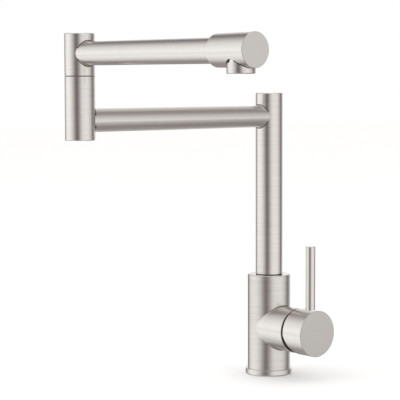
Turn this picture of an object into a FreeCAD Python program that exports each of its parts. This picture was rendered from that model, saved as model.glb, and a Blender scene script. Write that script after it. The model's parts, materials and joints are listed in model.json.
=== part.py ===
import FreeCAD, Part
import os

from FreeCAD import Placement, Rotation, Vector

# Single-handle kitchen faucet with a folding, double-jointed spout, in millimetres.
# The origin is the centre of the base on the deck. +Z is up, the cook stands at -Y,
# and the handle is on the +X side. At rest the lower arm points to -Y and the upper arm to +X.

# Base ring and its gasket
ring_r = 24.7
ring_height = 6.0
ring_round = 1.5
ring_edge = 0.2
gasket_r = 22.4
gasket_width = 2.4
gasket_height = 1.5

# Body casting: an upright barrel with a boss on its side for the handle
body_r = 22.6
body_top = 106.0
body_edge = 0.4
foot_r = 18.0
handle_z = 50.6
boss_root_r = 22.2
boss_front_r = 23.5
boss_front = 44.7
boss_edge = 0.3
boss_flare = 2.4
boss_groove_fade = 1.5

# Waterways and fixings drilled in the casting
hose_thread_r = 4.5
hose_thread_depth = 14.0
hose_x = 4.0
hose_y = 8.0
inlet_bore_r = 3.2
outlet_bore_r = 4.0
stud_thread_r = 3.4
stud_thread_depth = 16.0
stud_x = -11.0

# Ceramic cartridge, stacked outwards from the floor of its chamber
cartridge_r = 17.5
case_wall = 1.9
seal_proud = 0.3
seal_height = 1.5
seal_wall = 1.2
base_thickness = 3.0
port_r = 2.8
inlet_port_drop = 5.5
outlet_port_rise = 8.0
fixed_disc_thickness = 4.0
moving_disc_r = 11.5
moving_disc_thickness = 4.0
mixing_pocket_r = 7.0
mixing_pocket_depth = 2.0
driver_web = 0.65
driver_lip = 0.55
driver_half_width = 9.0
spindle_end_r = 2.5
spindle_end_half = 3.5
spindle_arm = 10.0
spindle_arm_half = 2.2
spindle_shank = 4.0
stem_half = 4.0
pivot_cover = 5.5
pin_r = 1.5
carrier_r = 12.0
carrier_lift = 0.6
flange_thickness = 2.8
rail_thickness = 2.0
rail_half_length = 7.0
slot_half_height = 6.5
shoulder_thickness = 2.4
neck_wall = 1.7
neck_recess = 2.1
nut_wall = 2.3
nut_height = 7.0
spanner_slot_width = 4.0
spanner_slot_depth = 2.5
spanner_slots = 4
bonnet_inset = 0.6
bonnet_flange = 0.5

# Handle
knob_gap = 3.2
knob_r = 23.9
knob_length = 26.7
knob_wall = 3.8
knob_end_wall = 6.0
knob_edge = 0.3
hub_r = 9.5
hub_recess = 4.0
relief_drop = 2.5
relief_angle = 19.0
stem_end_gap = 1.4
rod_r = 5.0
rod_inset = 10.6
rod_height = 89.6
rod_edge = 0.4
rod_seat = 3.0
grub_r = 2.5
grub_recess = 0.8

# Riser and its swivel in the body
riser_r = 14.2
riser_top = 297.0
tube_wall = 1.5
cap_thickness = 2.5
cap_edge = 0.5
riser_ring_height = 0.6
slip_ring_set_in = 0.4
spigot_depth = 26.0
spigot_floor_gap = 1.0
spigot_plug = 14.0
spigot_water_r = 6.0
seal_ring_height = 2.4
seal_ring_depth = 2.0
seal_ring_pitch = 6.0
seal_ring_margin = 4.0
keeper_drop = 7.5
keeper_r = 2.0
keeper_groove_depth = 1.6

# Arms
arm_r = 11.3
arm_wall = 1.5
flare_r = 3.2
joint_groove = 0.6
tongue_wall = 0.8
elbow_r = 14.6
elbow_reach = 241.5
arm_drop = 24.5
post_overhang = 19.0
seam_rise = 42.3
knuckle_rise = 21.4
knuckle_overhang = 19.3
elbow_ring_height = 0.9
bush_wall = 1.5
bush_length = 23.0
elbow_spigot_depth = 28.0
elbow_spigot_plug = 7.0
circlip_height = 1.5
circlip_bite = 1.3
circlip_stand = 1.1
circlip_mouth = 5.0

# Outlet head and aerator
head_reach = 254.5
head_length = 48.7
head_r = 15.2
head_rear_r = 14.6
head_edge = 0.3
head_rear_edge = 1.0
head_socket = 7.0
head_water_r = 6.0
head_water_rise = 3.0
outlet_inset = 18.4
sleeve_r = 12.4
sleeve_drop = 4.8
sleeve_skirt = 9.2
sleeve_round = 1.0
sleeve_reveal = 3.1
sleeve_wall = 1.4
sleeve_lip = 0.8
neck_step = 1.0
neck_length = 5.4
outlet_gap = 0.5
aerator_gasket_height = 1.4
aerator_gasket_width = 2.4

# Clearances
fit_gap = 0.02
thread_gap = 0.05
seat_gap = 0.1
run_gap = 0.1
seal_gap = 0.05
pin_gap = 0.06
slide_gap = 0.15
free_gap = 0.3

# Places along the cartridge axis, counted from the floor of its chamber
base_at = seal_proud
fixed_disc_at = base_at + base_thickness
moving_disc_at = fixed_disc_at + fixed_disc_thickness + seal_gap
driver_at = moving_disc_at + moving_disc_thickness
spindle_end_at = driver_at + driver_web + free_gap + spindle_end_r
driver_top_at = spindle_end_at + driver_lip
flange_at = driver_top_at + carrier_lift
flange_top_at = flange_at + flange_thickness
shoulder_at = flange_top_at + slide_gap
shoulder_top_at = shoulder_at + shoulder_thickness
pivot_at = spindle_end_at + spindle_arm
neck_end_at = pivot_at + pivot_cover
chamber_floor = boss_front - neck_recess - neck_end_at
case_bore_r = cartridge_r - case_wall
neck_bore_r = carrier_r + run_gap
neck_r = neck_bore_r + neck_wall
nut_r = cartridge_r + nut_wall
nut_front_at = shoulder_top_at + nut_height

# Places of the handle
knob_rear = boss_front + knob_gap
knob_front = knob_rear + knob_length
hub_rear = knob_rear + hub_recess
cavity_end = knob_front - knob_end_wall
stem_end = cavity_end - stem_end_gap
rod_x = knob_front - rod_inset

# Heights of the spout
tube_bore_r = riser_r - tube_wall
elbow_tube_bore_r = elbow_r - tube_wall
arm_bore_r = arm_r - arm_wall
riser_foot = body_top + riser_ring_height + seat_gap
lower_arm_z = riser_top - arm_drop
post_bottom = lower_arm_z - post_overhang
seam_z = lower_arm_z + seam_rise
post_top = seam_z - elbow_ring_height / 2 - seat_gap / 2
knuckle_bottom = post_top + elbow_ring_height + seat_gap
upper_arm_z = seam_z + knuckle_rise
knuckle_top = upper_arm_z + knuckle_overhang
spigot_r = tube_bore_r - run_gap
spigot_bottom = body_top - spigot_depth
elbow_bore_r = elbow_tube_bore_r - bush_wall
elbow_spigot_r = elbow_bore_r - run_gap
elbow_spigot_bottom = post_top - elbow_spigot_depth
bush_bottom = post_top - bush_length

# Places of the outlet
head_start = head_reach - head_length
outlet_x = head_reach - outlet_inset
sleeve_bottom = upper_arm_z - head_r - sleeve_drop
skirt_top = sleeve_bottom + sleeve_skirt
aerator_neck_r = sleeve_r - neck_step
aerator_neck_top = skirt_top + neck_length
aerator_seat = aerator_neck_top + aerator_gasket_height
sleeve_bore_r = aerator_neck_r - sleeve_wall

# Axes: each holds the pieces that are turned about it, with local Z along the axis
up = Rotation()
toward_handle = Rotation(Vector(0, 0, 1), Vector(1, 0, 0))
riser_axis = Placement(Vector(0, 0, 0), up)
elbow_axis = Placement(Vector(0, -elbow_reach, 0), up)
outlet_axis = Placement(Vector(outlet_x, -elbow_reach, 0), up)
chamber_axis = Placement(Vector(chamber_floor, 0, handle_z), toward_handle)
handle_axis = Placement(Vector(0, 0, handle_z), toward_handle)
head_axis = Placement(Vector(0, -elbow_reach, upper_arm_z), toward_handle)


def turned(profile, axis, rounds=(), chamfers=()):
    """Revolve an outline of (radius, height) points; rounds and chamfers list (radius, height, size)."""
    points = [Vector(r, 0, h) for r, h in profile]
    face = Part.Face(Part.makePolygon(points + points[:1]))
    solid = face.revolve(Vector(0, 0, 0), Vector(0, 0, 1), 360)
    for r, h, size in chamfers:
        solid = solid.makeChamfer(size, rims(solid, r, h))
    for r, h, size in rounds:
        solid = solid.makeFillet(size, rims(solid, r, h))
    return placed(solid, axis)


def rims(solid, r, h):
    """The circular edges of one radius at one height."""
    near = 1e-4
    found = []
    for edge in solid.Edges:
        curve = edge.Curve
        if curve.TypeId != "Part::GeomCircle":
            continue
        if abs(curve.Radius - r) < near and abs(curve.Center.z - h) < near:
            found.append(edge)
    return found


def placed(shape, axis):
    moved = shape.copy()
    moved.Placement = axis
    return moved


def ring(r_out, r_in, low, high, axis):
    return turned([(r_in, low), (r_out, low), (r_out, high), (r_in, high)], axis)


def disc(r, low, high, axis, chamfers=()):
    return turned([(0, low), (r, low), (r, high), (0, high)], axis, chamfers=chamfers)


def rod_between(r, start, end):
    """Plain cylinder from one point to another."""
    return Part.makeCylinder(r, (end - start).Length, start, end - start)


def block(low, high):
    return Part.makeBox(high.x - low.x, high.y - low.y, high.z - low.z, low)


def saddle_edges(solid):
    """Edges where one round form runs into another."""
    return [edge for edge in solid.Edges if edge.Curve.TypeId == "Part::GeomBSplineCurve"]


def at_chamber(x, y, z):
    """Point given along the cartridge axis from the chamber floor, and across it from the handle axis."""
    return Vector(chamber_floor + x, y, handle_z + z)


def ports():
    """Offsets (y, z) of the two inlets and the outlet across the cartridge."""
    return [(-hose_y, -inlet_port_drop), (hose_y, -inlet_port_drop), (0, outlet_port_rise)]


def port_bores(r, low, high):
    bores = [rod_between(r, at_chamber(low, y, z), at_chamber(high, y, z)) for y, z in ports()]
    return Part.makeCompound(bores)


def base_ring():
    groove = gasket_r + seat_gap
    groove_in = gasket_r - gasket_width - seat_gap
    bore = foot_r + fit_gap
    profile = [
        (bore, 0), (groove_in, 0), (groove_in, gasket_height), (groove, gasket_height), (groove, 0),
        (ring_r, 0), (ring_r, ring_height), (bore, ring_height),
    ]
    return turned(profile, riser_axis, [(ring_r, 0, ring_round)], [(ring_r, ring_height, ring_edge)])


def base_gasket():
    return ring(gasket_r, gasket_r - gasket_width, 0, gasket_height, riser_axis)


def body_casting():
    outline = [
        (0, 0), (foot_r, 0), (foot_r, ring_height), (body_r, ring_height), (body_r, body_top), (0, body_top),
    ]
    barrel = turned(outline, riser_axis, chamfers=[(body_r, body_top, body_edge)])
    boss_outline = [(0, 0), (boss_root_r, 0), (boss_front_r, boss_front), (0, boss_front)]
    boss = turned(boss_outline, handle_axis, chamfers=[(boss_front_r, boss_front, boss_edge)])
    casting = barrel.fuse(boss).removeSplitter()
    casting = casting.makeFillet(boss_flare, saddle_edges(casting)).cut(boss_groove())

    chamber = disc(cartridge_r + seat_gap, 0, neck_end_at + neck_recess, chamber_axis)
    thread = disc(nut_r + thread_gap, shoulder_top_at, neck_end_at + neck_recess, chamber_axis)
    swivel = disc(tube_bore_r, spigot_bottom - spigot_floor_gap, body_top, riser_axis)
    outlet_z = handle_z + outlet_port_rise
    outlet_turn = Vector(0, 0, outlet_z)
    outlet_up = rod_between(outlet_bore_r, outlet_turn, Vector(0, 0, body_top - spigot_depth))
    outlet_in = rod_between(outlet_bore_r, outlet_turn, Vector(chamber_floor, 0, outlet_z))
    cuts = [chamber, thread, swivel, outlet_up, outlet_in]
    for side in (-1, 1):
        y = side * hose_y
        inlet_z = handle_z - inlet_port_drop
        cuts.append(rod_between(hose_thread_r, Vector(hose_x, y, 0), Vector(hose_x, y, hose_thread_depth)))
        cuts.append(rod_between(inlet_bore_r, Vector(hose_x, y, 0), Vector(hose_x, y, inlet_z)))
        cuts.append(rod_between(inlet_bore_r, Vector(hose_x, y, inlet_z), Vector(chamber_floor, y, inlet_z)))
    cuts.append(rod_between(stud_thread_r, Vector(stud_x, 0, 0), Vector(stud_x, 0, stud_thread_depth)))
    cuts.append(rod_between(keeper_r + fit_gap, Vector(0, 0, keeper_z()), Vector(0, body_r, keeper_z())))
    return casting.cut(cuts)


def boss_groove():
    """Crescent cut behind the boss's flare, deepest above and below the boss and fading out at its sides."""
    low = handle_z - boss_front_r - boss_flare
    high = handle_z + boss_front_r + boss_flare
    fading_r = body_r + joint_groove - boss_groove_fade
    crescent = disc(fading_r, low, high, Placement(Vector(boss_groove_fade, 0, 0), up))
    return crescent.cut([disc(body_r, low, high, riser_axis), disc(boss_root_r, 0, boss_front, handle_axis)])


def keeper_z():
    return body_top - keeper_drop


def keeper_groove_r():
    return spigot_r - keeper_groove_depth


def riser_keeper_screw():
    tip = Vector(0, keeper_groove_r() + free_gap, keeper_z())
    return rod_between(keeper_r, tip, Vector(0, body_r - free_gap, keeper_z()))


def riser_slip_ring():
    return ring(riser_r - slip_ring_set_in, tube_bore_r, body_top, body_top + riser_ring_height, riser_axis)


def cartridge_case():
    profile = [
        (case_bore_r, base_at), (cartridge_r, base_at), (cartridge_r, shoulder_top_at),
        (neck_r, shoulder_top_at), (neck_r, neck_end_at), (neck_bore_r, neck_end_at),
        (neck_bore_r, shoulder_at), (case_bore_r, shoulder_at),
    ]
    return turned(profile, chamber_axis)


def seal_r():
    return port_r + seal_wall


def cartridge_base():
    plate = disc(case_bore_r - fit_gap, base_at, fixed_disc_at, chamber_axis)
    pockets = port_bores(seal_r() + fit_gap, base_at, seal_height)
    return plate.cut(port_bores(port_r, base_at, fixed_disc_at)).cut(pockets)


def cartridge_port_seals():
    rings = port_bores(seal_r(), 0, seal_height).cut(port_bores(port_r, 0, seal_height))
    return Part.makeCompound(rings.Solids)


def ceramic_fixed_disc():
    top = fixed_disc_at + fixed_disc_thickness
    plate = disc(case_bore_r - fit_gap, fixed_disc_at, top, chamber_axis)
    return plate.cut(port_bores(port_r, fixed_disc_at, top))


def ceramic_moving_disc():
    pocket_top = moving_disc_at + mixing_pocket_depth
    profile = [
        (0, pocket_top), (mixing_pocket_r, pocket_top), (mixing_pocket_r, moving_disc_at),
        (moving_disc_r, moving_disc_at), (moving_disc_r, driver_at), (0, driver_at),
    ]
    return turned(profile, chamber_axis)


def disc_driver():
    cap = disc(moving_disc_r, driver_at, driver_top_at, chamber_axis)
    reach = moving_disc_r + free_gap
    low = at_chamber(driver_at, -driver_half_width, -reach)
    flats = block(low, at_chamber(driver_top_at, driver_half_width, reach))
    half_y = spindle_end_half + slide_gap
    half_z = spindle_end_r + slide_gap
    floor = driver_at + driver_web
    socket = block(at_chamber(floor, -half_y, -half_z), at_chamber(driver_top_at, half_y, half_z))
    return cap.common(flats).cut(socket)


def cartridge_carrier():
    flange_r = case_bore_r - free_gap
    profile = [
        (0, flange_at), (flange_r, flange_at), (flange_r, flange_top_at), (carrier_r, flange_top_at),
        (carrier_r, neck_end_at), (0, neck_end_at),
    ]
    drum = turned(profile, chamber_axis)
    rail_low = driver_half_width + slide_gap
    for side in (-1, 1):
        edges = sorted((side * rail_low, side * (rail_low + rail_thickness)))
        low = at_chamber(driver_at + free_gap, edges[0], -rail_half_length)
        drum = drum.fuse(block(low, at_chamber(flange_at, edges[1], rail_half_length)))
    half_y = stem_half + free_gap
    slot_low = at_chamber(flange_at, -half_y, -slot_half_height)
    slot = block(slot_low, at_chamber(neck_end_at, half_y, slot_half_height))
    return drum.cut(slot).cut(pivot_rod(pin_r, carrier_r)).removeSplitter()


def pivot_rod(r, half):
    """Cylinder along the axis that the spindle tilts about."""
    return rod_between(r, at_chamber(pivot_at, -half, 0), at_chamber(pivot_at, half, 0))


def spindle_pin():
    return pivot_rod(pin_r, carrier_r - free_gap)


def cartridge_spindle():
    tip = at_chamber(spindle_end_at, -spindle_end_half, 0)
    spindle = rod_between(spindle_end_r, tip, at_chamber(spindle_end_at, spindle_end_half, 0))
    arm_low = at_chamber(spindle_end_at, -spindle_end_half, -spindle_arm_half)
    spindle = spindle.fuse(block(arm_low, at_chamber(pivot_at, spindle_end_half, spindle_arm_half)))
    shank_low = at_chamber(pivot_at - spindle_shank, -stem_half, -stem_half)
    shank = block(shank_low, Vector(stem_end, stem_half, handle_z + stem_half))
    return spindle.fuse(shank).cut(pivot_rod(pin_r + pin_gap, carrier_r)).removeSplitter()


def cartridge_nut():
    nut = ring(nut_r, neck_r + seat_gap, shoulder_top_at, nut_front_at, chamber_axis)
    low = at_chamber(nut_front_at - spanner_slot_depth, 0, -spanner_slot_width / 2)
    slot = block(low, at_chamber(nut_front_at, nut_r, spanner_slot_width / 2))
    for turn in range(spanner_slots):
        cutter = slot.copy()
        cutter.rotate(at_chamber(0, 0, 0), Vector(1, 0, 0), 360 / spanner_slots * (turn + 0.5))
        nut = nut.cut(cutter)
    return nut


def bonnet_ring():
    face_at = neck_end_at + neck_recess
    flange_r = boss_front_r - bonnet_inset
    profile = [
        (neck_r + seat_gap, nut_front_at + seat_gap), (nut_r - seat_gap, nut_front_at + seat_gap),
        (nut_r - seat_gap, face_at), (flange_r, face_at),
        (flange_r, face_at + bonnet_flange), (neck_r + seat_gap, face_at + bonnet_flange),
    ]
    return turned(profile, chamber_axis)


def handle_knob():
    profile = [
        (0, hub_rear), (hub_r, hub_rear), (hub_r, cavity_end), (knob_r - knob_wall, cavity_end),
        (knob_r - knob_wall, knob_rear), (knob_r, knob_rear), (knob_r, knob_front), (0, knob_front),
    ]
    knob = turned(profile, handle_axis, chamfers=[(knob_r, knob_front, knob_edge)])
    socket_half = stem_half + thread_gap
    socket_low = Vector(hub_rear, -socket_half, handle_z - socket_half)
    socket = block(socket_low, Vector(stem_end + free_gap, socket_half, handle_z + socket_half))
    rod_hole = rod_between(rod_r + fit_gap, rod_foot(), Vector(rod_x, 0, handle_z + knob_r))
    grub_hole = rod_between(grub_r + fit_gap, Vector(rod_x, 0, handle_z - knob_r), Vector(rod_x, 0, handle_z))
    return knob.cut([socket, rod_hole, grub_hole, rear_relief()])


def rear_relief():
    """Wedge cut from the lower half of the knob's rear face, so that the knob can tilt towards the boss."""
    depth = knob_r
    wedge = block(Vector(-depth, -knob_r, -2 * depth), Vector(0, knob_r, 0))
    wedge.rotate(Vector(0, 0, 0), Vector(0, 1, 0), -relief_angle)
    wedge.translate(Vector(knob_rear, 0, handle_z - relief_drop))
    return wedge


def rod_foot():
    return Vector(rod_x, 0, handle_z + hub_r - rod_seat)


def lever_rod():
    axis = Placement(Vector(rod_x, 0, 0), up)
    top = handle_z + rod_height
    return disc(rod_r, rod_foot().z, top, axis, [(rod_r, top, rod_edge)])


def handle_grub_screw():
    top = Vector(rod_x, 0, handle_z - stem_half - thread_gap)
    return rod_between(grub_r, Vector(rod_x, 0, handle_z - hub_r + grub_recess), top)


def seal_heights(bottom):
    first = bottom + seal_ring_margin
    return [first, first + seal_ring_pitch]


def grooved(profile_r, bottom):
    """Outline points, upwards, of two seal grooves in a spigot of one radius."""
    points = []
    for low in seal_heights(bottom):
        high = low + seal_ring_height
        depth_r = profile_r - seal_ring_depth
        points += [(profile_r, low), (depth_r, low), (depth_r, high), (profile_r, high)]
    return points


def riser_spigot():
    groove_half = keeper_r + free_gap
    low = keeper_z() - groove_half
    high = keeper_z() + groove_half
    plug_r = tube_bore_r - fit_gap
    profile = [(spigot_water_r, spigot_bottom), (spigot_r, spigot_bottom)]
    profile += grooved(spigot_r, spigot_bottom)
    profile += [(spigot_r, low), (keeper_groove_r(), low), (keeper_groove_r(), high), (spigot_r, high)]
    profile += [(spigot_r, riser_foot), (plug_r, riser_foot)]
    profile += [(plug_r, riser_foot + spigot_plug), (spigot_water_r, riser_foot + spigot_plug)]
    return turned(profile, riser_axis)


def seal_rings(spigot, bore, bottom, axis):
    inner = spigot - seal_ring_depth
    rings = [ring(bore - seal_gap, inner, low, low + seal_ring_height, axis) for low in seal_heights(bottom)]
    return Part.makeCompound(rings)


def riser_seal_rings():
    return seal_rings(spigot_r, tube_bore_r, spigot_bottom, riser_axis)


def riser_point(z):
    return Vector(0, 0, z)


def elbow_point(z):
    return Vector(0, -elbow_reach, z)


def riser_tube():
    tube = ring(riser_r, tube_bore_r, riser_foot, riser_top - cap_thickness, riser_axis)
    return tube.cut(rod_between(arm_bore_r, riser_point(lower_arm_z), elbow_point(lower_arm_z)))


def end_cap(r, outer, inner, axis):
    """Welded disc that closes a tube, with its outer edge broken."""
    low, high = sorted((outer, inner))
    return disc(r, low, high, axis, [(r, outer, cap_edge)])


def riser_top_cap():
    return end_cap(riser_r, riser_top, riser_top - cap_thickness, riser_axis)


def flared_arm(start, end, seats):
    """Tube whose ends flare out to its seats, (radius, axis) each, with a shadow groove round each seat."""
    low = start.z - 2 * arm_r
    high = start.z + 2 * arm_r
    posts = [disc(r, low, high, axis) for r, axis in seats]
    keep_off = [disc(r + joint_groove, low, high, axis) for r, axis in seats]
    outside = rod_between(arm_r, start, end).fuse(posts).removeSplitter()
    outside = outside.makeFillet(flare_r, saddle_edges(outside)).cut(keep_off)
    tongue = rod_between(arm_bore_r + tongue_wall, start, end).cut(posts)
    return outside.fuse(tongue).removeSplitter().cut(rod_between(arm_bore_r, start, end))


def lower_arm_tube():
    seats = [(riser_r, riser_axis), (elbow_r, elbow_axis)]
    return flared_arm(riser_point(lower_arm_z), elbow_point(lower_arm_z), seats)


def elbow_post():
    tube = ring(elbow_r, elbow_tube_bore_r, post_bottom + cap_thickness, post_top, elbow_axis)
    return tube.cut(rod_between(arm_bore_r, riser_point(lower_arm_z), elbow_point(lower_arm_z)))


def elbow_bottom_cap():
    return end_cap(elbow_r, post_bottom, post_bottom + cap_thickness, elbow_axis)


def elbow_bush():
    return ring(elbow_tube_bore_r - fit_gap, elbow_bore_r, bush_bottom, post_top, elbow_axis)


def elbow_slip_ring():
    top = post_top + elbow_ring_height
    return ring(elbow_r - slip_ring_set_in, elbow_bore_r, post_top, top, elbow_axis)


def circlip_top():
    return bush_bottom - free_gap


def elbow_spigot():
    plug_r = elbow_tube_bore_r - fit_gap
    top = knuckle_bottom + elbow_spigot_plug
    bite_r = elbow_spigot_r - circlip_bite
    low = circlip_top() - circlip_height
    high = circlip_top()
    profile = [(spigot_water_r, elbow_spigot_bottom), (elbow_spigot_r, elbow_spigot_bottom)]
    profile += [(elbow_spigot_r, low), (bite_r, low), (bite_r, high), (elbow_spigot_r, high)]
    profile += grooved(elbow_spigot_r, bush_bottom)
    profile += [(elbow_spigot_r, knuckle_bottom), (plug_r, knuckle_bottom)]
    profile += [(plug_r, top), (spigot_water_r, top)]
    return turned(profile, elbow_axis)


def elbow_seal_rings():
    return seal_rings(elbow_spigot_r, elbow_bore_r, bush_bottom, elbow_axis)


def elbow_circlip():
    outer = elbow_spigot_r + circlip_stand
    low = circlip_top() - circlip_height
    clip = ring(outer, elbow_spigot_r - circlip_bite, low, circlip_top(), elbow_axis)
    half = circlip_mouth / 2
    corner = elbow_point(low) + Vector(-half, -outer, 0)
    return clip.cut(block(corner, elbow_point(circlip_top()) + Vector(half, 0, 0)))


def head_point(x, z=upper_arm_z):
    return Vector(x, -elbow_reach, z)


def upper_knuckle():
    tube = ring(elbow_r, elbow_tube_bore_r, knuckle_bottom, knuckle_top - cap_thickness, elbow_axis)
    return tube.cut(rod_between(arm_bore_r, head_point(0), head_point(head_start)))


def knuckle_top_cap():
    return end_cap(elbow_r, knuckle_top, knuckle_top - cap_thickness, elbow_axis)


def upper_arm_tube():
    return flared_arm(head_point(0), head_point(head_start + head_socket), [(elbow_r, elbow_axis)])


def outlet_head():
    socket_r = arm_r + fit_gap
    socket_end = head_start + head_socket
    profile = [
        (socket_r, head_start), (head_rear_r, head_start), (head_r, head_reach), (0, head_reach),
        (0, socket_end), (socket_r, socket_end),
    ]
    edges = [(head_rear_r, head_start, head_rear_edge), (head_r, head_reach, head_edge)]
    head = turned(profile, head_axis, chamfers=edges)
    below = sleeve_bottom - free_gap
    recess = disc(sleeve_r + outlet_gap, below, skirt_top + sleeve_reveal, outlet_axis)
    thread = disc(aerator_neck_r + thread_gap, below, aerator_seat, outlet_axis)
    water_z = upper_arm_z + head_water_rise
    drop = disc(aerator_neck_r - aerator_gasket_width, below, water_z, outlet_axis)
    water = rod_between(head_water_r, head_point(head_start, water_z), head_point(outlet_x, water_z))
    return head.cut([recess, thread, drop, water])


def aerator_sleeve():
    lip_top = sleeve_bottom + sleeve_lip
    profile = [
        (sleeve_bore_r - sleeve_lip, sleeve_bottom), (sleeve_r, sleeve_bottom), (sleeve_r, skirt_top),
        (aerator_neck_r, skirt_top), (aerator_neck_r, aerator_neck_top), (sleeve_bore_r, aerator_neck_top),
        (sleeve_bore_r, lip_top), (sleeve_bore_r - sleeve_lip, lip_top),
    ]
    return turned(profile, outlet_axis, [(sleeve_r, sleeve_bottom, sleeve_round)])


def aerator_core():
    top = aerator_neck_top - sleeve_lip
    return disc(sleeve_bore_r - fit_gap, sleeve_bottom + sleeve_lip, top, outlet_axis)


def aerator_gasket():
    inner = aerator_neck_r - aerator_gasket_width
    return ring(aerator_neck_r, inner, aerator_neck_top, aerator_seat, outlet_axis)


pieces = [
    base_ring, base_gasket, body_casting, riser_slip_ring, riser_keeper_screw,
    cartridge_case, cartridge_base, cartridge_port_seals, ceramic_fixed_disc, cartridge_nut, bonnet_ring,
    cartridge_carrier, spindle_pin, ceramic_moving_disc, disc_driver,
    handle_knob, lever_rod, handle_grub_screw, cartridge_spindle,
    riser_spigot, riser_seal_rings, riser_tube, riser_top_cap, lower_arm_tube,
    elbow_post, elbow_bottom_cap, elbow_bush, elbow_slip_ring,
    elbow_spigot, elbow_seal_rings, elbow_circlip, upper_knuckle, knuckle_top_cap, upper_arm_tube,
    outlet_head, aerator_sleeve, aerator_core, aerator_gasket,
]

os.makedirs("parts", exist_ok=True)
for piece in pieces:
    shape = piece()
    if not shape.isValid():
        raise ValueError(piece.__name__ + " is not a valid solid")
    shape.exportStep(os.path.join("parts", piece.__name__ + ".step"))
    print(piece.__name__, len(shape.Solids), round(shape.Volume, 1))
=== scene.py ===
import json
import math

import bmesh
import bpy
from mathutils import Euler, Matrix, Vector


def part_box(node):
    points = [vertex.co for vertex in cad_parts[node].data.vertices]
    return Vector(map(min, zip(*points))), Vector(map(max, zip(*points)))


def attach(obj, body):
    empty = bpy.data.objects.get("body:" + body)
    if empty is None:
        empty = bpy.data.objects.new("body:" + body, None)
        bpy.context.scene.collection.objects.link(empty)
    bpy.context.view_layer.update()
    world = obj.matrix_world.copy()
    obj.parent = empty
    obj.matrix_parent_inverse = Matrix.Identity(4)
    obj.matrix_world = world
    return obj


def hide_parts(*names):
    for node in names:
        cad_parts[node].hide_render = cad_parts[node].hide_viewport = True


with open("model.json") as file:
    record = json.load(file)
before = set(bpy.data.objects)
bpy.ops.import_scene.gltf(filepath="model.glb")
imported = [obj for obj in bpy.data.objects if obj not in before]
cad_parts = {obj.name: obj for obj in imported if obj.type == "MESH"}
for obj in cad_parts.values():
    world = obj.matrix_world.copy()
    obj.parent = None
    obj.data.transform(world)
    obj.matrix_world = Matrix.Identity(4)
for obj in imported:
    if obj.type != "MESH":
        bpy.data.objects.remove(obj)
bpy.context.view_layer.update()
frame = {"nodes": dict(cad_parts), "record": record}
scene = bpy.context.scene
nodes = frame["nodes"]
mm = 0.001
print("faucet frame loaded:", len(nodes), "pieces")


# small helpers

meshing = {
    "merge": 0.001 * mm,    # corners closer than this become one
    "smoothUnder": 40,      # degrees between faces that still shade as one
}


def linearColor(hexText):
    parts = [int(hexText[i:i + 2], 16) / 255 for i in (1, 3, 5)]
    curved = [c / 12.92 if c <= 0.04045 else ((c + 0.055) / 1.055) ** 2.4 for c in parts]
    return (*curved, 1.0)


def addNode(tree, kind, settings=None, links=None):
    # settings go to sockets by name or number, or to the node's own options
    node = tree.nodes.new(kind)
    for key, value in (settings or {}).items():
        if isinstance(key, int) or key in node.inputs:
            node.inputs[key].default_value = value
        else:
            setattr(node, key, value)
    for key, source in (links or {}).items():
        tree.links.new(source, node.inputs[key])
    return node


def newMaterial(name):
    material = bpy.data.materials.new(name)
    material.use_nodes = True
    material.node_tree.nodes.clear()
    return material, material.node_tree


def closeMaterial(tree, shader):
    addNode(tree, "ShaderNodeOutputMaterial", links={"Surface": shader.outputs[0]})


def middle(node):
    low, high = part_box(node)
    return (low + high) / 2


def meshObject(name, bm, material):
    bmesh.ops.remove_doubles(bm, verts=bm.verts, dist=meshing["merge"])
    bmesh.ops.recalc_face_normals(bm, faces=bm.faces)
    mesh = bpy.data.meshes.new(name)
    bm.to_mesh(mesh)
    bm.free()
    mesh.materials.append(material)
    thing = bpy.data.objects.new(name, mesh)
    scene.collection.objects.link(thing)
    return thing


def faucetPiece(name, bm, material, body, smoothUnder=meshing["smoothUnder"]):
    piece = meshObject(name, bm, material)
    piece.data.shade_smooth()
    piece.data.set_sharp_from_angle(angle=math.radians(smoothUnder))
    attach(piece, body)
    return piece


# brushed stainless steel

steel = {
    "color": "#e0dcd7",        # warm light grey
    "roughness": 0.2,          # of the drawn tubes and turned pieces
    "castRoughness": 0.23,     # of the cast body
    "roughSpread": 0.05,       # up and down from line to line
    "tintSpread": 0.17,        # how far the lines lighten and darken the colour
    "levelTintSpread": 0.09,   # the same on the arms, the head and the knob, which are brushed finer
    "bossGrain": 0.5,          # share of the barrel's grain that the boss has
    "grainWidth": 0.6 * mm,    # real belt lines are near 0.1 mm; drawn coarser so that they show
    "grainLength": 40 * mm,
    "grainDepth": 0.004 * mm,
    "grainLayers": 2.0,        # finer lines within the lines
    "grainLayerShare": 0.6,    # strength of each layer beside the one before
    "facedEdge": 0.3 * mm,     # broken edge round a faced end
    "barrelPaintedShade": 0.96,       # painted shade: the cast barrel's colour darkened a little beside the drawn tubes
    "bossBlend": 1.5 * mm,     # over which the barrel's lines give way to the boss's
}


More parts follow.
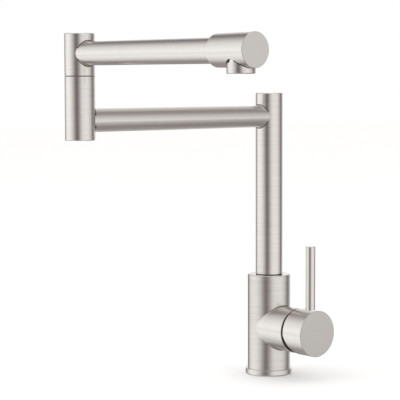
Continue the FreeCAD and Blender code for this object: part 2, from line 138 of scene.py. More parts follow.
def brushLines(tree, axis, centre):
    # fine lines that run round one axis, on the sides and on the end faces alike
    first, second = [i for i in range(3) if i != axis]
    others = [0.0 if i == axis else 1.0 for i in range(3)]
    place = addNode(tree, "ShaderNodeTexCoord")
    moved = addNode(tree, "ShaderNodeVectorMath", {"operation": "SUBTRACT", 1: centre},
                    {0: place.outputs["Object"]})
    across = addNode(tree, "ShaderNodeVectorMath", {"operation": "MULTIPLY", 1: others},
                     {0: moved.outputs[0]})
    radial = addNode(tree, "ShaderNodeVectorMath", {"operation": "LENGTH"}, {0: across.outputs[0]})
    split = addNode(tree, "ShaderNodeSeparateXYZ", links={0: moved.outputs[0]})
    along = addNode(tree, "ShaderNodeMath", {"operation": "ADD"},
                    {0: split.outputs[axis], 1: radial.outputs["Value"]})
    fine = addNode(tree, "ShaderNodeMath", {"operation": "DIVIDE", 1: steel["grainWidth"]},
                   {0: along.outputs[0]})
    around = addNode(tree, "ShaderNodeVectorMath",
                     {"operation": "SCALE", "Scale": 1 / steel["grainLength"]}, {0: across.outputs[0]})
    aroundSplit = addNode(tree, "ShaderNodeSeparateXYZ", links={0: around.outputs[0]})
    vector = addNode(tree, "ShaderNodeCombineXYZ", links={
        0: fine.outputs[0], 1: aroundSplit.outputs[first], 2: aroundSplit.outputs[second]})
    return addNode(tree, "ShaderNodeTexNoise", {
        "Scale": 1.0, "Detail": steel["grainLayers"], "Roughness": steel["grainLayerShare"]},
        {"Vector": vector.outputs[0]})


def brushedShader(tree, height, roughness, spread, share=1.0, paintedShadeMask=None):
    # the lines vary the sheen a little, shade the colour slightly and tilt the light along the axis
    rough = addNode(tree, "ShaderNodeMapRange", {
        "To Min": roughness - steel["roughSpread"], "To Max": roughness + steel["roughSpread"]},
        {"Value": height})
    base = linearColor(steel["color"])
    dull, bright = [(*(c * (1 + s) for c in base[:3]), 1.0) for s in (-spread, spread)]
    tint = addNode(tree, "ShaderNodeMix", {"data_type": "RGBA", 6: dull, 7: bright}, {0: height})
    color = tint.outputs[2]
    if paintedShadeMask:
        # painted shade: a part of the surface whose colour is darkened to this share
        color = addNode(tree, "ShaderNodeMix", {
            "data_type": "RGBA", "blend_type": "MULTIPLY", 7: (share, share, share, 1.0)},
            {0: paintedShadeMask, 6: color}).outputs[2]
    bump = addNode(tree, "ShaderNodeBump", {"Distance": steel["grainDepth"]}, {"Height": height})
    return addNode(tree, "ShaderNodeBsdfPrincipled", {"Metallic": 1.0}, {
        "Base Color": color, "Roughness": rough.outputs[0], "Normal": bump.outputs[0]})


def onEndFace(tree, end):
    # 1 on the face at the +X end, 0 along the piece: where a faced end's painted shade goes
    place = addNode(tree, "ShaderNodeTexCoord")
    split = addNode(tree, "ShaderNodeSeparateXYZ", links={0: place.outputs["Object"]})
    edge = steel["facedEdge"]
    face = addNode(tree, "ShaderNodeMapRange", {"From Min": end - edge, "From Max": end - edge / 2},
                   {"Value": split.outputs[0]})
    return face.outputs[0]


def brushedStainless(name, axis, centre, spread, shadedEnd=None):
    # stainless steel, belt-brushed round its axis: a soft satin mirror with fine lines across it
    material, tree = newMaterial(name)
    lines = brushLines(tree, axis, centre)
    # a faced end gets painted shade: its colour darkened to the given share
    share, end = shadedEnd or (1.0, None)
    paintedShadeMask = onEndFace(tree, end) if shadedEnd else None
    closeMaterial(tree, brushedShader(tree, lines.outputs[0], steel["roughness"], spread, share, paintedShadeMask))
    return material


def brushedCasting(name, barrelCentre, bossCentre, barrelRadius):
    # the same finish on the cast body, round the barrel and round the boss that stands out of it
    material, tree = newMaterial(name)
    barrel = brushLines(tree, 2, barrelCentre)
    boss = brushLines(tree, 0, bossCentre)
    place = addNode(tree, "ShaderNodeTexCoord")
    moved = addNode(tree, "ShaderNodeVectorMath", {"operation": "SUBTRACT", 1: barrelCentre},
                    {0: place.outputs["Object"]})
    flat = addNode(tree, "ShaderNodeVectorMath", {"operation": "MULTIPLY", 1: (1, 1, 0)},
                   {0: moved.outputs[0]})
    radius = addNode(tree, "ShaderNodeVectorMath", {"operation": "LENGTH"}, {0: flat.outputs[0]})
    onBarrel = addNode(tree, "ShaderNodeMapRange", {
        "From Min": barrelRadius, "From Max": barrelRadius + steel["bossBlend"],
        "To Min": 1.0, "To Max": 0.0}, {"Value": radius.outputs["Value"]}).outputs[0]
    calm = addNode(tree, "ShaderNodeMapRange", {
        "To Min": 0.5 - steel["bossGrain"] / 2, "To Max": 0.5 + steel["bossGrain"] / 2},
        {"Value": boss.outputs[0]})
    height = addNode(tree, "ShaderNodeMix", {"data_type": "FLOAT"},
                     {0: onBarrel, 2: calm.outputs[0], 3: barrel.outputs[0]})
    # painted shade on the barrel: its colour darkened to its share
    shader = brushedShader(tree, height.outputs[0], steel["castRoughness"], steel["tintSpread"],
                           steel["barrelPaintedShade"], onBarrel)
    closeMaterial(tree, shader)
    return material


# materials of the other pieces

speckle = {
    "layers": 3.0,     # finer grains within the grains
    "relief": 0.05,    # height of a grain, as a share of its size
}


def speckled(name, color, dark, grain, **settings):
    # a faint even mottle of one grain size over a plain shader
    material, tree = newMaterial(name)
    place = addNode(tree, "ShaderNodeTexCoord")
    noise = addNode(tree, "ShaderNodeTexNoise", {"Scale": 1 / grain, "Detail": speckle["layers"]},
                    {"Vector": place.outputs["Object"]})
    mix = addNode(tree, "ShaderNodeMix", {
        "data_type": "RGBA", 6: linearColor(dark), 7: linearColor(color)}, {0: noise.outputs[0]})
    bump = addNode(tree, "ShaderNodeBump", {"Distance": grain * speckle["relief"]},
                   {"Height": noise.outputs[0]})
    shader = addNode(tree, "ShaderNodeBsdfPrincipled", settings,
                     {"Base Color": mix.outputs[2], "Normal": bump.outputs[0]})
    closeMaterial(tree, shader)
    return material


otherFinishes = {
    # acetal, moulded black: satin rings with a faint mould grain
    "blackAcetal": {"color": "#1c1b1b", "dark": "#121111", "grain": 0.4 * mm, "Roughness": 0.45},
    # acetal, moulded grey: satin slip ring
    "greyAcetal": {"color": "#6b6462", "dark": "#5e5856", "grain": 0.4 * mm, "Roughness": 0.45},
    # acetal, moulded off-white: satin plastic of the cartridge
    "whiteAcetal": {"color": "#d9d7cf", "dark": "#cfcdc4", "grain": 0.5 * mm, "Roughness": 0.5},
    # EPDM rubber, moulded black: dull seals
    "blackEpdm": {"color": "#1d1c1c", "dark": "#141313", "grain": 0.3 * mm, "Roughness": 0.75},
    # painted shade: dull dark grey, laid as soft fine lines where steel meets steel and the joints fall
    # into shadow
    "paintedShadeLine": {"color": "#363230", "dark": "#2c2927", "grain": 0.3 * mm, "Roughness": 0.75},
    # ABS, moulded grey: insert of the aerator, a little shinier than acetal
    "greyAbs": {"color": "#6d6e6f", "dark": "#616263", "grain": 0.4 * mm, "Roughness": 0.4},
    # brass, turned: yellow metal with a soft sheen
    "turnedBrass": {"color": "#c9a85c", "dark": "#b8954c", "grain": 0.3 * mm, "Roughness": 0.3,
                    "Metallic": 1.0},
    # hardened steel, ground: darker grey metal
    "groundSteel": {"color": "#8e8d8c", "dark": "#777675", "grain": 0.2 * mm, "Roughness": 0.35,
                    "Metallic": 1.0},
    # alumina ceramic, lapped: white, almost glossy
    "lappedAlumina": {"color": "#ece9e2", "dark": "#e4e0d8", "grain": 0.2 * mm, "Roughness": 0.2},
}
slotFinish = {
    "brass": "turnedBrass", "hardened_steel": "groundSteel", "black_acetal": "blackAcetal",
    "cartridge_plastic": "whiteAcetal", "alumina": "lappedAlumina", "seal_rubber": "blackEpdm",
    "aerator_plastic": "greyAbs",
}
finishes = {name: speckled(name, **spec) for name, spec in otherFinishes.items()}

# which way each visible steel piece was brushed: 0 round X, 1 round Y, 2 round Z
brushed = {
    "base_ring": 2, "riser_tube": 2, "riser_top_cap": 2, "elbow_post": 2, "elbow_bottom_cap": 2,
    "upper_knuckle": 2, "knuckle_top_cap": 2, "lower_arm_tube": 1, "upper_arm_tube": 0, "outlet_head": 0,
    "handle_knob": 0, "lever_rod": 2, "aerator_sleeve": 2,
}
endPaintedShade = {"handle_knob": 0.82, "outlet_head": 0.93}    # painted shade: share of its colour that a faced end keeps
unmirrored = ("lever_rod", "handle_knob")    # so close to the barrel that its brushed lines smear them out


def setMaterial(node, material):
    mesh = nodes[node].data
    mesh.materials.clear()
    mesh.materials.append(material)


for entry in frame["record"]["subparts"]:
    node = entry["node"]
    if node in brushed:
        shadedEnd = (endPaintedShade[node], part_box(node)[1].x) if node in endPaintedShade else None
        spread = steel["tintSpread" if brushed[node] == 2 else "levelTintSpread"]
        finish = brushedStainless("brushedStainless." + node, brushed[node], middle(node), spread, shadedEnd)
    elif node == "body_casting":
        barrelCentre = Vector((*middle("base_ring").xy, 0))
        barrelRadius = -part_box(node)[0].x
        finish = brushedCasting("brushedStainless." + node, barrelCentre, middle("handle_knob"),
                                barrelRadius)
    elif node == "elbow_slip_ring":
        finish = finishes["greyAcetal"]
    else:
        finish = finishes[slotFinish[entry["material_slot"]]]
    setMaterial(node, finish)
for node in unmirrored:
    nodes[node].visible_glossy = False
print("finishes set on all pieces")


# painted shade: fine dark lines laid where the arms and the boss meet the uprights, and the steel in the
# arms' grooves

up = Vector((0, 0, 1))
seamClear = 0.04 * mm    # of a painted shade line or ring to the walls beside it
seamThick = 0.08 * mm    # of a line where it lies on the flare


def sectionSpun(corners, arc, steps, turn=0.0):
    # section of (radius, height) corners, spun round local Z over an arc centred turn degrees from local X
    bm = bmesh.new()
    verts = [bm.verts.new((radius, 0, height)) for radius, height in corners]
    loop = [bm.edges.new((a, b)) for a, b in zip(verts, verts[1:] + verts[:1])]
    bmesh.ops.rotate(bm, verts=verts, matrix=Matrix.Rotation(math.radians(turn - arc / 2), 3, "Z"))
    bmesh.ops.spin(bm, geom=loop + verts, axis=(0, 0, 1), angle=math.radians(arc), steps=steps,
                   use_merge=arc == 360)
    if arc < 360:
        bmesh.ops.holes_fill(bm, edges=[e for e in bm.edges if e.is_boundary], sides=len(corners))
    return bm


def seated(bm, along, centre):
    # local X goes up, local Z along the arm, and the origin onto the upright's axis
    turn = Matrix((up, along.cross(up), along)).transposed()
    bmesh.ops.transform(bm, matrix=Matrix.Translation(centre) @ turn.to_4x4(), verts=bm.verts)


def flareReach(spec, root, away):
    # radius of the flare at a distance from the upright, where it stands highest
    return root + spec["flare"] - math.sqrt(spec["flare"] ** 2 - (spec["flare"] - away) ** 2)


def lineSection(spec, root, proud, lap, inner):
    # from inside the groove over the rim of the flare, which the line laps and thins out on
    groove = spec["groove"]
    end = groove + lap
    rim = flareReach(spec, root, groove)
    last = flareReach(spec, root, end)
    return [(inner, seamClear), (rim + proud, seamClear), (rim + proud, groove), (last + seamThick, end),
            (last, end), (rim, groove), (inner, groove - seamClear)]


armSeam = {
    "arm": 11.3 * mm,      # radius of both arms
    "flare": 3.2 * mm,     # radius of the round in which an arm widens towards the upright
    "groove": 0.6 * mm,    # width of the groove between flare and upright
    "inner": 10.7 * mm,    # radius to the groove's bottom
    "lineArc": 130,        # degrees that the upper line and the lower line each go round the arm
    "steps": 96,
}
armSeams = {    # proud and lap: how far a line stands up from the rim, and runs on along the flare
    "riserArm": {
        "post": "riser_tube", "arm": "lower_arm_tube", "body": "riser", "along": Vector((0, -1, 0)),
        "proud": 0.1 * mm, "lap": 0.4 * mm,
    },
    "elbowArm": {
        "post": "elbow_post", "arm": "lower_arm_tube", "body": "riser", "along": Vector((0, 1, 0)),
        "proud": 0.03 * mm, "lap": 0.1 * mm,
    },
    "knuckleArm": {
        "post": "upper_knuckle", "arm": "upper_arm_tube", "body": "upper_arm", "along": Vector((1, 0, 0)),
        "proud": 0.2 * mm, "lap": 0.5 * mm,
    },
}


def onArm(bm, spec):
    # bends the spun ring onto the upright: the flare is full above and below the arm, gone at its sides
    low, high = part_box(spec["post"])
    radius = (high.x - low.x) / 2
    arm = armSeam["arm"]
    for v in bm.verts:
        angle = math.atan2(v.co.y, v.co.x)
        reach = v.co.xy.length
        if reach > arm:
            reach = arm + (reach - arm) * abs(math.cos(angle)) ** 3
        side = reach * math.sin(angle)
        v.co = (reach * math.cos(angle), side, math.sqrt((radius + v.co.z) ** 2 - side ** 2))
    seated(bm, spec["along"], Vector((*middle(spec["post"]).xy, middle(spec["arm"]).z)))


def armJoint(name, spec):
    inner = armSeam["inner"]
    rim = flareReach(armSeam, armSeam["arm"], armSeam["groove"])
    near, far = seamClear, armSeam["groove"] - seamClear
    filler = sectionSpun([(inner, near), (rim, near), (rim, far), (inner, far)], 360, armSeam["steps"])
    onArm(filler, spec)
    finish = nodes[spec["arm"]].data.materials[0]
    faucetPiece(name + "Filler", filler, finish, spec["body"])
    # painted shade: a dark line above and below the arm, where the joint falls into shadow
    section = lineSection(armSeam, armSeam["arm"], spec["proud"], spec["lap"], rim + seamClear)
    for side, turn in (("Top", 0), ("Bottom", 180)):
        line = sectionSpun(section, armSeam["lineArc"], armSeam["steps"] // 2, turn)
        onArm(line, spec)
        faucetPiece(name + "Seam" + side, line, finishes["paintedShadeLine"], spec["body"])


bossSeam = {
    "root": 22.92 * mm,      # radius of the boss at the barrel
    "flare": 2.4 * mm,
    "groove": 0.6 * mm,
    "inner": 22.3 * mm,      # radius to the groove's bottom
    "rimFall": 1.8 * mm,     # how much less the flare's rim stands out at the boss's sides
    "shift": 1.5 * mm,       # the groove's far wall is a cylinder set this far out, so the groove fades out
    "proud": 0.1 * mm,
    "lap": 0.5 * mm,
    "arc": 92,
    "steps": 48,
}


def bossJoint(name, turn):
    radius = -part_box("body_casting")[0].x
    shift = bossSeam["shift"]
    fading = radius + bossSeam["groove"] - shift
    section = lineSection(bossSeam, bossSeam["root"], bossSeam["proud"], bossSeam["lap"], bossSeam["inner"])
    bm = sectionSpun(section, bossSeam["arc"], bossSeam["steps"], turn)
    for v in bm.verts:
        angle = math.atan2(v.co.y, v.co.x)
        away = v.co.z / bossSeam["groove"]
        reach = v.co.xy.length
        if reach > bossSeam["root"]:
            reach -= bossSeam["rimFall"] * (1 - abs(math.cos(angle)))
        side = reach * math.sin(angle)
        wall = math.sqrt(radius ** 2 - side ** 2)
        rim = shift + math.sqrt(fading ** 2 - side ** 2)
        v.co = (reach * math.cos(angle), side, wall + (rim - wall) * away)
    seated(bm, Vector((1, 0, 0)), Vector((0, 0, middle("handle_knob").z)))
    faucetPiece(name, bm, finishes["paintedShadeLine"], "faucet_body")


bossSide = {
    "root": 22.2 * mm,      # radius of the boss on the barrel's axis
    "taper": 0.029,         # growth of that radius per length outwards
    "from": 117,            # degrees from the boss's top
    "to": 137,
    "half": 0.4 * mm,       # of the strip's width
    "thin": 0.3,            # share of that width left at the upper end
    "proud": 0.06 * mm,
    "sunk": 0.1 * mm,
    "steps": 24,
    "passes": 4,            # to find where the tapered boss meets the barrel
}


def bossSideJoint(name, side):
    # painted shade: a dark strip that runs on up the rounded corner between boss and barrel, where the
    # groove has faded out, over the corner's own highlight
    barrel = -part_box("body_casting")[0].x
    half = bossSide["half"]
    low, high = barrel - bossSide["sunk"], barrel + bossSide["proud"]
    arc = bossSide["to"] - bossSide["from"]
    turn = side * (bossSide["from"] + bossSide["to"]) / 2
    section = [(low, -half), (high, -half), (high, half), (low, half)]
    bm = sectionSpun(section, arc, bossSide["steps"], turn)
    for v in bm.verts:
        angle = math.atan2(v.co.y, v.co.x)
        rise = v.co.xy.length - barrel
        reach = barrel
        for _ in range(bossSide["passes"]):
            wall = math.sqrt(barrel ** 2 - (reach * math.sin(angle)) ** 2)
            reach = bossSide["root"] + bossSide["taper"] * wall
        corner = Vector((reach * math.cos(angle), reach * math.sin(angle), wall))
        offBoss = Vector((math.cos(angle), math.sin(angle), 0))
        offBarrel = Vector((0, corner.y, wall)).normalized()
        out = (offBoss + offBarrel).normalized()
        rounding = bossSeam["flare"] * (1 / out.dot(offBoss) - 1)
        run = (math.degrees(abs(angle)) - bossSide["from"]) / arc
        across = v.co.z * (bossSide["thin"] + (1 - bossSide["thin"]) * run)
        v.co = corner + out * (rounding + rise) + (offBoss - offBarrel).normalized() * across
    seated(bm, Vector((1, 0, 0)), Vector((0, 0, middle("handle_knob").z)))
    faucetPiece(name, bm, finishes["paintedShadeLine"], "faucet_body")


for name, spec in armSeams.items():
    armJoint(name, spec)
print("arms joined:", len(armSeams), "grooves with a line above and below")
# painted shade: dark lines and strips where the boss meets the barrel
bossJoint("bossSeamTop", 0)
bossJoint("bossSeamBottom", 180)
bossSideJoint("bossSeamFront", 1)
bossSideJoint("bossSeamRear", -1)
print("boss joined to the barrel")


# painted shade: a dark ring laid in the gap between the outlet head and the aerator's sleeve, where the
# head dips lowest

outletShadeRing = {
    "gap": 0.5 * mm,       # between sleeve and head
    "hang": 0.3 * mm,      # below the head
    "inside": 1.0 * mm,    # up into the gap
    "arc": 144,
    "steps": 48,
}


def sleeveShadeRing(name, turn):
    sleeveLow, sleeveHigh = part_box("aerator_sleeve")
    headLow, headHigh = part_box("outlet_head")
    radius = (sleeveHigh.x - sleeveLow.x) / 2
    head = (headHigh.z - headLow.z) / 2
    inner, outer = radius + seamClear, radius + outletShadeRing["gap"] - seamClear
    low, high = -outletShadeRing["hang"], outletShadeRing["inside"]
    section = [(inner, low), (outer, low), (outer, high), (inner, high)]
    bm = sectionSpun(section, outletShadeRing["arc"], outletShadeRing["steps"], turn)
    for v in bm.verts:
        v.co.z -= math.sqrt(head ** 2 - v.co.y ** 2)
    place = (*middle("aerator_sleeve").xy, middle("outlet_head").z)
    bmesh.ops.translate(bm, verts=bm.verts, vec=place)
    faucetPiece(name, bm, finishes["paintedShadeLine"], "upper_arm")


# the two arcs are painted shade, dark where the recess falls into shadow
sleeveShadeRing("outletShadeRingFront", 0)
sleeveShadeRing("outletShadeRingRear", 180)
print("outlet seal laid in two arcs")


# aerator insert: a moulded plate of hexagonal cells under a plain core

hexSides = 6
honeycomb = {
    "pitch": 2.3 * mm,
    "wall": 0.45 * mm,
    "depth": 3.0 * mm,
    "margin": 0.5 * mm,    # left plain round the edge
    "lap": 0.04 * mm,      # the core sinks this far into the plate
    "segments": 96,
}


def honeycombInsert():
    low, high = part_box("aerator_core")
    centre = middle("aerator_core")
    radius = (high.x - low.x) / 2
    bm = bmesh.new()
    bmesh.ops.create_circle(bm, segments=honeycomb["segments"], radius=radius)
    cell = (honeycomb["pitch"] - honeycomb["wall"]) / math.sqrt(3)
    across = int(radius / honeycomb["pitch"]) + 2
    for row in range(-across, across + 1):
        for column in range(-across, across + 1):
            place = Vector(((column + row % 2 / 2) * honeycomb["pitch"],
                            row * honeycomb["pitch"] * math.sqrt(3) / 2, 0))
            if place.length + cell + honeycomb["margin"] < radius:
                bmesh.ops.create_circle(bm, segments=hexSides, radius=cell,
                                        matrix=Matrix.Translation(place))
    plate = bmesh.ops.triangle_fill(bm, edges=bm.edges[:], use_beauty=True, normal=(0, 0, 1))
    faces = [g for g in plate["geom"] if isinstance(g, bmesh.types.BMFace)]
    grown = bmesh.ops.extrude_face_region(bm, geom=faces, use_keep_orig=True)
    lifted = [g for g in grown["geom"] if isinstance(g, bmesh.types.BMVert)]
    bmesh.ops.translate(bm, verts=lifted, vec=(0, 0, honeycomb["depth"]))
    core = high.z - low.z - honeycomb["depth"]
    seat = Matrix.Translation((0, 0, honeycomb["depth"] + core / 2 - honeycomb["lap"]))
    bmesh.ops.create_cone(bm, cap_ends=True, segments=honeycomb["segments"], radius1=radius,
                          radius2=radius, depth=core, matrix=seat)
    bmesh.ops.translate(bm, verts=bm.verts, vec=(centre.x, centre.y, low.z))
    insert = faucetPiece("aeratorHoneycomb", bm, finishes["greyAbs"], "upper_arm")
    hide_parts("aerator_core")


# set screws with a hexagon socket in the outer end

screws = {    # socket: half of its width across flats
    "handleSetScrew": {
        "node": "handle_grub_screw", "body": "handle", "out": Vector((0, 0, -1)), "socket": 1.25 * mm,
    },
    "riserKeeperScrew": {
        "node": "riser_keeper_screw", "body": "faucet_body", "out": Vector((0, 1, 0)), "socket": 1.0 * mm,
    },
}
screwForm = {"segments": 48, "chamfer": 0.35 * mm, "socketDepth": 2.0 * mm, "smoothUnder": 30}


def setScrew(name, spec):
    low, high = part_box(spec["node"])
    size = high - low
    axis = max(range(3), key=lambda i: abs(spec["out"][i]))
    length = size[axis]
    radius = min(size) / 2
    chamfer = screwForm["chamfer"]
    bm = bmesh.new()
    rim = bmesh.ops.create_circle(bm, segments=screwForm["segments"], radius=radius - chamfer)
    rimEdges = list({e for v in rim["verts"] for e in v.link_edges})
    hexagon = bmesh.ops.create_circle(bm, segments=hexSides,
                                      radius=spec["socket"] / math.cos(math.pi / hexSides))
    hexEdges = list({e for v in hexagon["verts"] for e in v.link_edges})
    bmesh.ops.triangle_fill(bm, edges=rimEdges + hexEdges, use_beauty=True, normal=(0, 0, 1))

    def grown(edges, drop, scale=1.0):
        # pulls a loop of edges inwards along the screw and gives the new loop back
        out = bmesh.ops.extrude_edge_only(bm, edges=edges)["geom"]
        verts = [g for g in out if isinstance(g, bmesh.types.BMVert)]
        bmesh.ops.translate(bm, verts=verts, vec=(0, 0, -drop))
        bmesh.ops.scale(bm, verts=verts, vec=(scale, scale, 1))
        return [g for g in out if isinstance(g, bmesh.types.BMEdge) and g.is_boundary]

    socketEnd = grown(hexEdges, screwForm["socketDepth"])
    bmesh.ops.edgeloop_fill(bm, edges=socketEnd)
    shoulder = grown(rimEdges, chamfer, radius / (radius - chamfer))
    tip = grown(shoulder, length - 2 * chamfer)
    end = grown(tip, chamfer, (radius - chamfer) / radius)
    bmesh.ops.edgeloop_fill(bm, edges=end)
    head = middle(spec["node"]) + spec["out"] * length / 2
    turn = spec["out"].to_track_quat("Z", "Y").to_matrix().to_4x4()
    bmesh.ops.transform(bm, matrix=Matrix.Translation(head) @ turn, verts=bm.verts)
    screw = faucetPiece(name, bm, finishes["groundSteel"], spec["body"],
                        screwForm["smoothUnder"])
    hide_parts(spec["node"])


honeycombInsert()
for name, spec in screws.items():
    setScrew(name, spec)
print("aerator insert and", len(screws), "set screws made")


# lens, floor and world

studio = {
    "floorColor": "#f4f3f2",
    "floorSize": 14.0,
    "floorLift": 0.1,                        # makes the unshaded floor read as white paper
    "mottleSize": 1 / 3,                     # metres across a faint patch of the floor
    "mottleShare": 0.99,                     # of the floor's colour where a patch is darkest
    "worldStrength": 1.0,                    # white behind the faucet
    "target": Vector((0.09, -0.12, 0.19)),   # middle of the faucet
}
view = {
    "focalPx": 1598.6, "imagePx": 400, "sensor": 36.0,
    "azimuth": 48.360, "distance": 1.68334, "height": 0.31341,   # of the lens, from the riser's axis
    "yaw": 2.485, "pitch": 4.388, "roll": -0.14,
    "clipEnd": 60,
}


def towards(beta, elevation):
    # unit vector from the faucet; beta is counted from the lens, to its right
    azimuth = math.radians(view["azimuth"] + beta)
    height = math.radians(elevation)
    level = math.cos(height)
    return Vector((math.sin(azimuth) * level, -math.cos(azimuth) * level, math.sin(height)))


def cameraAtPhoto():
    data = bpy.data.cameras.new("lens")
    data.sensor_width = view["sensor"]
    data.lens = view["focalPx"] / view["imagePx"] * view["sensor"]
    data.clip_end = view["clipEnd"]
    camera = bpy.data.objects.new("lens", data)
    azimuth, away = math.radians(view["azimuth"]), view["distance"]
    camera.location = (math.sin(azimuth) * away, -math.cos(azimuth) * away, view["height"])
    tilt, pan = math.radians(90 - view["pitch"]), math.radians(view["azimuth"] + view["yaw"])
    roll = Matrix.Rotation(math.radians(view["roll"]), 3, "Z")
    camera.rotation_euler = (Euler((tilt, 0, pan)).to_matrix() @ roll).to_euler()
    scene.collection.objects.link(camera)
    scene.camera = camera


def paleFloor():
    # matt white board: takes a soft shadow, with a mottle too faint to notice
    bm = bmesh.new()
    bmesh.ops.create_grid(bm, x_segments=1, y_segments=1, size=studio["floorSize"] / 2)
    material, tree = newMaterial("paleFloor")
    place = addNode(tree, "ShaderNodeTexCoord")
    mottle = addNode(tree, "ShaderNodeTexNoise", {"Scale": 1 / studio["mottleSize"]},
                     {"Vector": place.outputs["Object"]})
    base = linearColor(studio["floorColor"])
    shaded = tuple(c * studio["mottleShare"] for c in base)
    tint = addNode(tree, "ShaderNodeMix", {"data_type": "RGBA", 6: shaded, 7: base},
                   {0: mottle.outputs[0]})
    matt = addNode(tree, "ShaderNodeBsdfDiffuse", links={"Color": tint.outputs[2]})
    lift = addNode(tree, "ShaderNodeEmission", {"Strength": studio["floorLift"]})
    board = addNode(tree, "ShaderNodeAddShader", links={0: matt.outputs[0], 1: lift.outputs[0]})
    closeMaterial(tree, board)
    floor = meshObject("floor", bm, material)
    floor.visible_glossy = False    # the steel mirrors the tent below the worktop's level too


def whiteWorld():
    world = bpy.data.worlds.new("whiteStudio")
    scene.world = world
    world.use_nodes = True
    tree = world.node_tree
    tree.nodes.clear()
    light = addNode(tree, "ShaderNodeBackground", {
        "Color": linearColor("#ffffff"), "Strength": studio["worldStrength"]})
    addNode(tree, "ShaderNodeOutputWorld", links={"Surface": light.outputs[0]})


# light tent that the steel mirrors: white cloth behind grey flags
# each of these gives the share of white cloth by degrees to the right of the lens
# the shares started from brightness read along the tubes in the photograph, and were then changed one by
# one

levelAtElbow = {
    -180: 0.2, -150: 0.23, -138: 0.36, -118: 0.83, -103: 0.98, -90: 0.98, -72: 0.89, -62: 0.75, -49: 0.55,
    -29: 0.14, -18: 0.06, -8: 0.16, 12: 0.58, 22: 0.78, 46: 0.83, 64: 0.82, 75: 0.72, 84: 0.62, 95: 0.47,
    104: 0.28, 114: 0.12, 124: 0.18, 136: 0.37, 147: 0.64, 160: 0.8, 180: 0.82,
}
knuckleTurn = {"from": -70, "to": 60, "by": -3}    # shift of the flags beside the lens
levelAtKnuckle = {
    beta + (knuckleTurn["by"] if knuckleTurn["from"] < beta < knuckleTurn["to"] else 0): share
    for beta, share in levelAtElbow.items()
}
levelAboveKnuckle = {
    **levelAtElbow, -180: 0.95, -172: 0.85, -164: 0.4, -150: 0.25, 150: 0.5, 160: 0.85, 180: 0.95,
}
levelBelow = {**levelAtElbow, 46: 0.7, 64: 0.62, 75: 0.56, 84: 0.5, 95: 0.4}
levelAtRiser = {
    -180: 0.2, -150: 0.23, -138: 0.36, -118: 0.82, -103: 0.98, -90: 0.97, -72: 0.9, -56: 0.77, -43: 0.57,
    -23: 0.14, -11: 0.04, -1: 0.12, 18: 0.55, 28: 0.73, 50: 0.83, 64: 0.84, 75: 0.82, 84: 0.77, 95: 0.67,
    104: 0.46, 114: 0.1, 124: 0.15, 136: 0.35, 147: 0.58, 160: 0.7, 180: 0.72,
}
levelAtBody = {
    -180: 0.2, -150: 0.14, -138: 0.36, -122: 0.75, -103: 0.83, -72: 0.8, -58: 0.72, -45: 0.57, -25: 0.2,
    -14: 0.12, -4: 0.24, 16: 0.61, 26: 0.79, 40: 0.86, 64: 0.9, 75: 0.84, 84: 0.74, 95: 0.62, 114: 0.13,
    124: 0.18, 136: 0.35, 147: 0.61, 160: 0.82, 180: 0.9,
}
slantBelow = {
    -180: 0.31, -165: 0.26, -145: 0.24, -133: 0.36, -124: 0.53, -115: 0.7, -104: 0.86, -90: 0.8, -60: 0.3,
    55: 0.3, 84: 0.37, 95: 0.25, 105: 0.21, 125: 0.21, 145: 0.24, 160: 0.29, 180: 0.39,
}
slantAbove = {
    -180: 0.62, -165: 0.35, -155: 0.1, -143: 0.18, -133: 0.32, -124: 0.44, -115: 0.6, -104: 0.72,
    -90: 0.7, -60: 0.3, 25: 0.45, 55: 0.8, 70: 0.6, 84: 0.38, 95: 0.27, 105: 0.22, 117: 0.23, 130: 0.33,
    145: 0.43, 157: 0.53, 180: 0.64,
}
tent = {
    "radius": 6.0,
    "segments": 64,
    "rings": 32,
    "strength": 1.2,
    "cloth": "#ffffff",
    "flag": "#514547",
    "bands": {    # by height over distance, from the bottom up
        -0.98: {-180: 0.5, 180: 0.5},
        -0.86: slantBelow,
        -0.64: slantBelow,
        -0.27: levelBelow,
        -0.18: levelAtBody,
        -0.13: levelAtBody,
        -0.09: levelAtRiser,
        -0.03: levelAtElbow,
        0.03: levelAtKnuckle,
        0.1: levelAboveKnuckle,
        0.64: slantAbove,
        0.86: slantAbove,
        0.98: {-180: 0.85, 180: 0.85},
    },
}


def azimuthRamp(tree, turn, stops):
    ramp = addNode(tree, "ShaderNodeValToRGB", links={0: turn})
    elements = ramp.color_ramp.elements
    while len(elements) < len(stops):
        elements.new(0.5)    # put in its place below
    for element, (beta, share) in zip(elements, sorted(stops.items())):
        element.position = (beta + 180) / 360
        element.color = (share, share, share, 1)
    return ramp


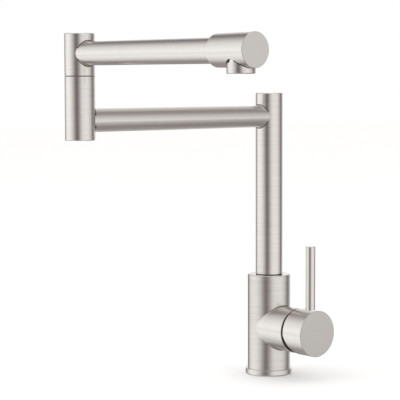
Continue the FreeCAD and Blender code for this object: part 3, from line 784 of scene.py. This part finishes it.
def lightTent():
    bm = bmesh.new()
    bmesh.ops.create_uvsphere(bm, u_segments=tent["segments"], v_segments=tent["rings"],
                              radius=tent["radius"])
    bmesh.ops.translate(bm, verts=bm.verts, vec=studio["target"])
    material, tree = newMaterial("tentCloth")
    place = addNode(tree, "ShaderNodeTexCoord")
    moved = addNode(tree, "ShaderNodeVectorMath", {"operation": "SUBTRACT", 1: studio["target"]},
                    {0: place.outputs["Object"]})
    away = addNode(tree, "ShaderNodeVectorMath", {"operation": "NORMALIZE"}, {0: moved.outputs[0]})
    lensTurn = math.radians(90 - view["azimuth"])    # brings the lens to the middle of the gradient
    turned = addNode(tree, "ShaderNodeMapping", {"Rotation": (0, 0, lensTurn)},
                     {"Vector": away.outputs[0]})
    turn = addNode(tree, "ShaderNodeTexGradient", {"gradient_type": "RADIAL"},
                   {"Vector": turned.outputs[0]})
    split = addNode(tree, "ShaderNodeSeparateXYZ", links={0: away.outputs[0]})
    heights = sorted(tent["bands"])
    share = azimuthRamp(tree, turn.outputs["Fac"], tent["bands"][heights[0]]).outputs[0]
    for below, height in zip(heights, heights[1:]):
        band = azimuthRamp(tree, turn.outputs["Fac"], tent["bands"][height])
        rise = addNode(tree, "ShaderNodeMapRange", {"From Min": below, "From Max": height},
                       {"Value": split.outputs[2]})
        share = addNode(tree, "ShaderNodeMix", {"data_type": "RGBA"},
                        {0: rise.outputs[0], 6: share, 7: band.outputs[0]}).outputs[2]
    color = addNode(tree, "ShaderNodeMix", {
        "data_type": "RGBA", 6: linearColor(tent["flag"]), 7: linearColor(tent["cloth"])}, {0: share})
    glow = addNode(tree, "ShaderNodeEmission", {"Strength": tent["strength"]}, {"Color": color.outputs[2]})
    closeMaterial(tree, glow)
    cover = meshObject("tent", bm, material)
    cover.visible_camera = False
    cover.visible_diffuse = False
    cover.visible_shadow = False


# softboxes, which light what isn't mirrored and cast the shadow

lamps = {
    "leftSoftbox": {"beta": -70, "elevation": 45, "distance": 2.0, "size": 1.4, "watts": 6},
    "rightSoftbox": {"beta": 60, "elevation": 50, "distance": 2.0, "size": 1.2, "watts": 4},
}


def softbox(name, spec):
    data = bpy.data.lights.new(name, "AREA")
    data.shape = "SQUARE"
    data.size = spec["size"]
    data.energy = spec["watts"]
    lamp = bpy.data.objects.new(name, data)
    away = towards(spec["beta"], spec["elevation"])
    lamp.location = studio["target"] + away * spec["distance"]
    lamp.rotation_euler = away.to_track_quat("Z", "Y").to_euler()
    lamp.visible_glossy = False    # the tent's cloth stands for them in the steel
    scene.collection.objects.link(lamp)


cameraAtPhoto()
paleFloor()
whiteWorld()
lightTent()
for name, spec in lamps.items():
    softbox(name, spec)
scene.view_settings.view_transform = "Standard"
print("studio set:", len(lamps), "softboxes in a tent")
